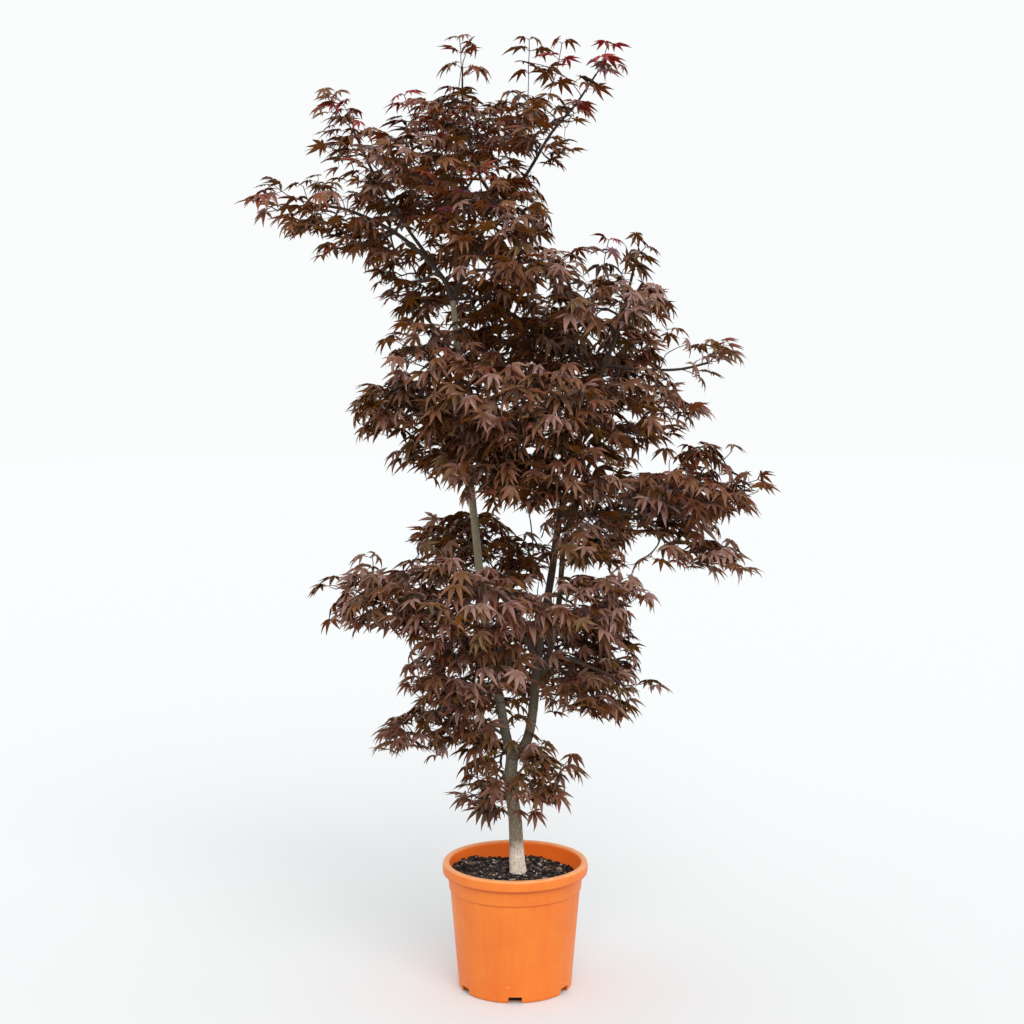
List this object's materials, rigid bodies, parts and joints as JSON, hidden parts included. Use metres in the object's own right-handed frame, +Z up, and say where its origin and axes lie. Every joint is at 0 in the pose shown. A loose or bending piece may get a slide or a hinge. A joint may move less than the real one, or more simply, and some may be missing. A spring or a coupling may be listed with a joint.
{
  "type": "potted japanese maple",
  "caption": "Young upright japanese maple with purple-bronze cut leaves in loose layers on slender forked stems, standing in a round orange plastic nursery pot of compost.",
  "frame": {"origin": "centre of the pot's flat underside, on the surface it stands on", "axes": "+Z up along the trunk, +X towards the side with the lower, right-hand boughs, -Y towards the viewer"},
  "size_m": [0.99, 0.5845, 1.827],
  "materials": {
    "orange_plastic": "satin",
    "potting_compost": "matte",
    "trunk_bark": "matte",
    "stem_bark": "matte",
    "purple_foliage": "satin"
  },
  "bodies": {
    "root": {"pot": "orange_plastic", "compost": "potting_compost", "trunk": "trunk_bark", "left_stem": "stem_bark", "right_stem": "stem_bark", "right_back_stem": "stem_bark", "leader": "stem_bark", "left_leader": "stem_bark", "arm_bough": "stem_bark", "shoulder_bough": "stem_bark", "upper_back_bough": "stem_bark", "right_wing_bough": "stem_bark", "left_pad_bough": "stem_bark", "right_low_bough": "stem_bark", "left_arm_bough": "stem_bark", "front_pad_bough": "stem_bark", "back_skirt_bough": "stem_bark", "front_bough": "stem_bark", "right_skirt_bough": "stem_bark", "left_foot_bough": "stem_bark", "spire_left": "purple_foliage", "spire_middle": "purple_foliage", "spire_right": "purple_foliage", "top_left": "purple_foliage", "top_right": "purple_foliage", "top_back": "purple_foliage", "shoulder": "purple_foliage", "arm_left": "purple_foliage", "upper_left": "purple_foliage", "upper_middle": "purple_foliage", "upper_back": "purple_foliage", "hang_left": "purple_foliage", "hang_middle": "purple_foliage", "hang_back": "purple_foliage", "right_spire": "purple_foliage", "right_top": "purple_foliage", "right_wing": "purple_foliage", "mid_left": "purple_foliage", "left_pad": "purple_foliage", "front_pad": "purple_foliage", "right_pad": "purple_foliage", "back_pad": "purple_foliage", "left_low_pad": "purple_foliage", "front_low_pad": "purple_foliage", "right_low_pad": "purple_foliage", "right_hang": "purple_foliage", "right_back_pad": "purple_foliage", "right_front_hang": "purple_foliage", "behind_left": "purple_foliage", "behind_middle": "purple_foliage", "left_arm": "purple_foliage", "front_skirt": "purple_foliage", "front_right_skirt": "purple_foliage", "front_low_skirt": "purple_foliage", "right_skirt": "purple_foliage", "left_skirt": "purple_foliage", "left_foot_pad": "purple_foliage", "back_skirt": "purple_foliage", "foot_left": "purple_foliage", "foot_right": "purple_foliage"}
  },
  "joints": []
}
